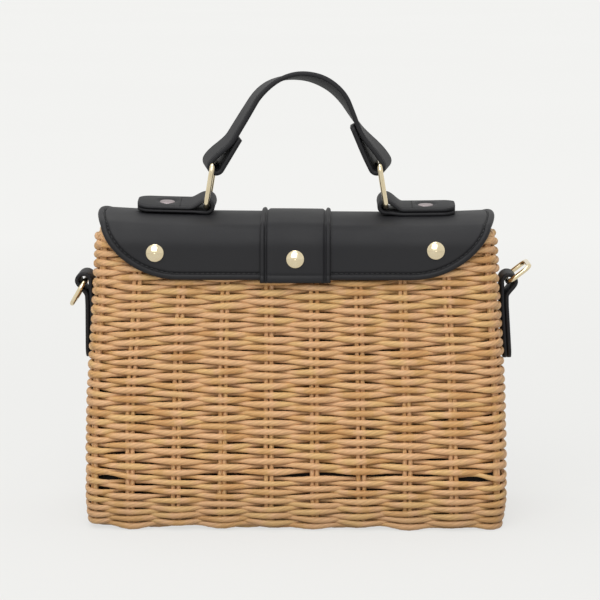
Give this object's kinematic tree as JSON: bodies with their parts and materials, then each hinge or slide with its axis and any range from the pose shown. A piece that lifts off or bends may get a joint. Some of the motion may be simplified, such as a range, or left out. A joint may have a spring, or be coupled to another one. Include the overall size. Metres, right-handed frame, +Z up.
{
  "type": "woven box handbag",
  "caption": "Rigid woven box handbag with a riveted black leather cover that swings open, an arched top handle on swinging rings and side rings for a shoulder strap.",
  "frame": {"origin": "middle of the flat base, on the surface that the bag stands on", "axes": "+Z up, -Y out of the riveted face that the picture shows, +X to the right of that face"},
  "size_m": [0.2536, 0.0948, 0.2445],
  "materials": {
    "woven_cord": "twisted paper cord, matte with a soft sheen, honey and straw",
    "lining_cloth": "dark plain-woven cotton",
    "black_leather": "satin black smooth-grain leather with stitched turned edges",
    "pale_gold": "polished pale gold plating",
    "rivet_flat": "dull rose-grey plated rivet face",
    "catch_steel": "nickel-plated steel"
  },
  "bodies": {
    "basket": {"basket": "woven_cord", "lining": "lining_cloth", "rear_apron": "black_leather", "rear_band": "black_leather", "rear_rivet_left": "pale_gold", "rear_rivet_centre": "pale_gold", "rear_rivet_right": "pale_gold", "rear_burr_left": "pale_gold", "rear_burr_centre": "pale_gold", "rear_burr_right": "pale_gold", "left_side_tab": "black_leather", "right_side_tab": "black_leather", "left_side_tab_rivet": "pale_gold", "right_side_tab_rivet": "pale_gold", "left_side_tab_burr": "pale_gold", "right_side_tab_burr": "pale_gold", "catch_keeper": "catch_steel"},
    "cover": {"cover": "black_leather", "cover_band": "black_leather", "catch_magnet": "catch_steel", "left_handle_tab": "black_leather", "right_handle_tab": "black_leather", "left_handle_tab_rivet": "rivet_flat", "right_handle_tab_rivet": "rivet_flat", "left_handle_tab_burr": "pale_gold", "right_handle_tab_burr": "pale_gold"},
    "left_handle_ring": {"left_handle_ring": "pale_gold"},
    "right_handle_ring": {"right_handle_ring": "pale_gold"},
    "handle": {"handle": "black_leather"},
    "left_strap_ring": {"left_strap_ring": "pale_gold"},
    "right_strap_ring": {"right_strap_ring": "pale_gold"}
  },
  "joints": [
    {"name": "cover_hinge", "type": "hinge", "parent": "basket", "child": "cover", "pos_m": [0, -0.03866, 0.16441], "axis": [1, 0, 0], "range_deg": [0, 115]},
    {"name": "left_handle_ring_swing", "type": "hinge", "parent": "cover", "child": "left_handle_ring", "pos_m": [-0.049, 0, 0.1729], "axis": [0, 1, 0], "range_deg": [-30, 30]},
    {"name": "right_handle_ring_swing", "type": "hinge", "parent": "cover", "child": "right_handle_ring", "pos_m": [0.049, 0, 0.1729], "axis": [0, 1, 0], "range_deg": [-30, 30]},
    {"name": "handle_swing", "type": "hinge", "parent": "left_handle_ring", "child": "handle", "pos_m": [-0.04532, 0, 0.1954], "axis": [0, 1, 0], "range_deg": [-32.5, 32.5]},
    {"name": "left_strap_ring_swing", "type": "hinge", "parent": "basket", "child": "left_strap_ring", "pos_m": [-0.11614, 0, 0.13122], "axis": [0, -1, 0], "range_deg": [-140, 20]},
    {"name": "right_strap_ring_swing", "type": "hinge", "parent": "basket", "child": "right_strap_ring", "pos_m": [0.11614, 0, 0.13122], "axis": [0, 1, 0], "range_deg": [-42, 118]}
  ],
  "couplings": [
    {"joint": "right_handle_ring_swing", "follows": "left_handle_ring_swing", "ratio": 1},
    {"joint": "handle_swing", "follows": "left_handle_ring_swing", "ratio": -1.0813}
  ]
}
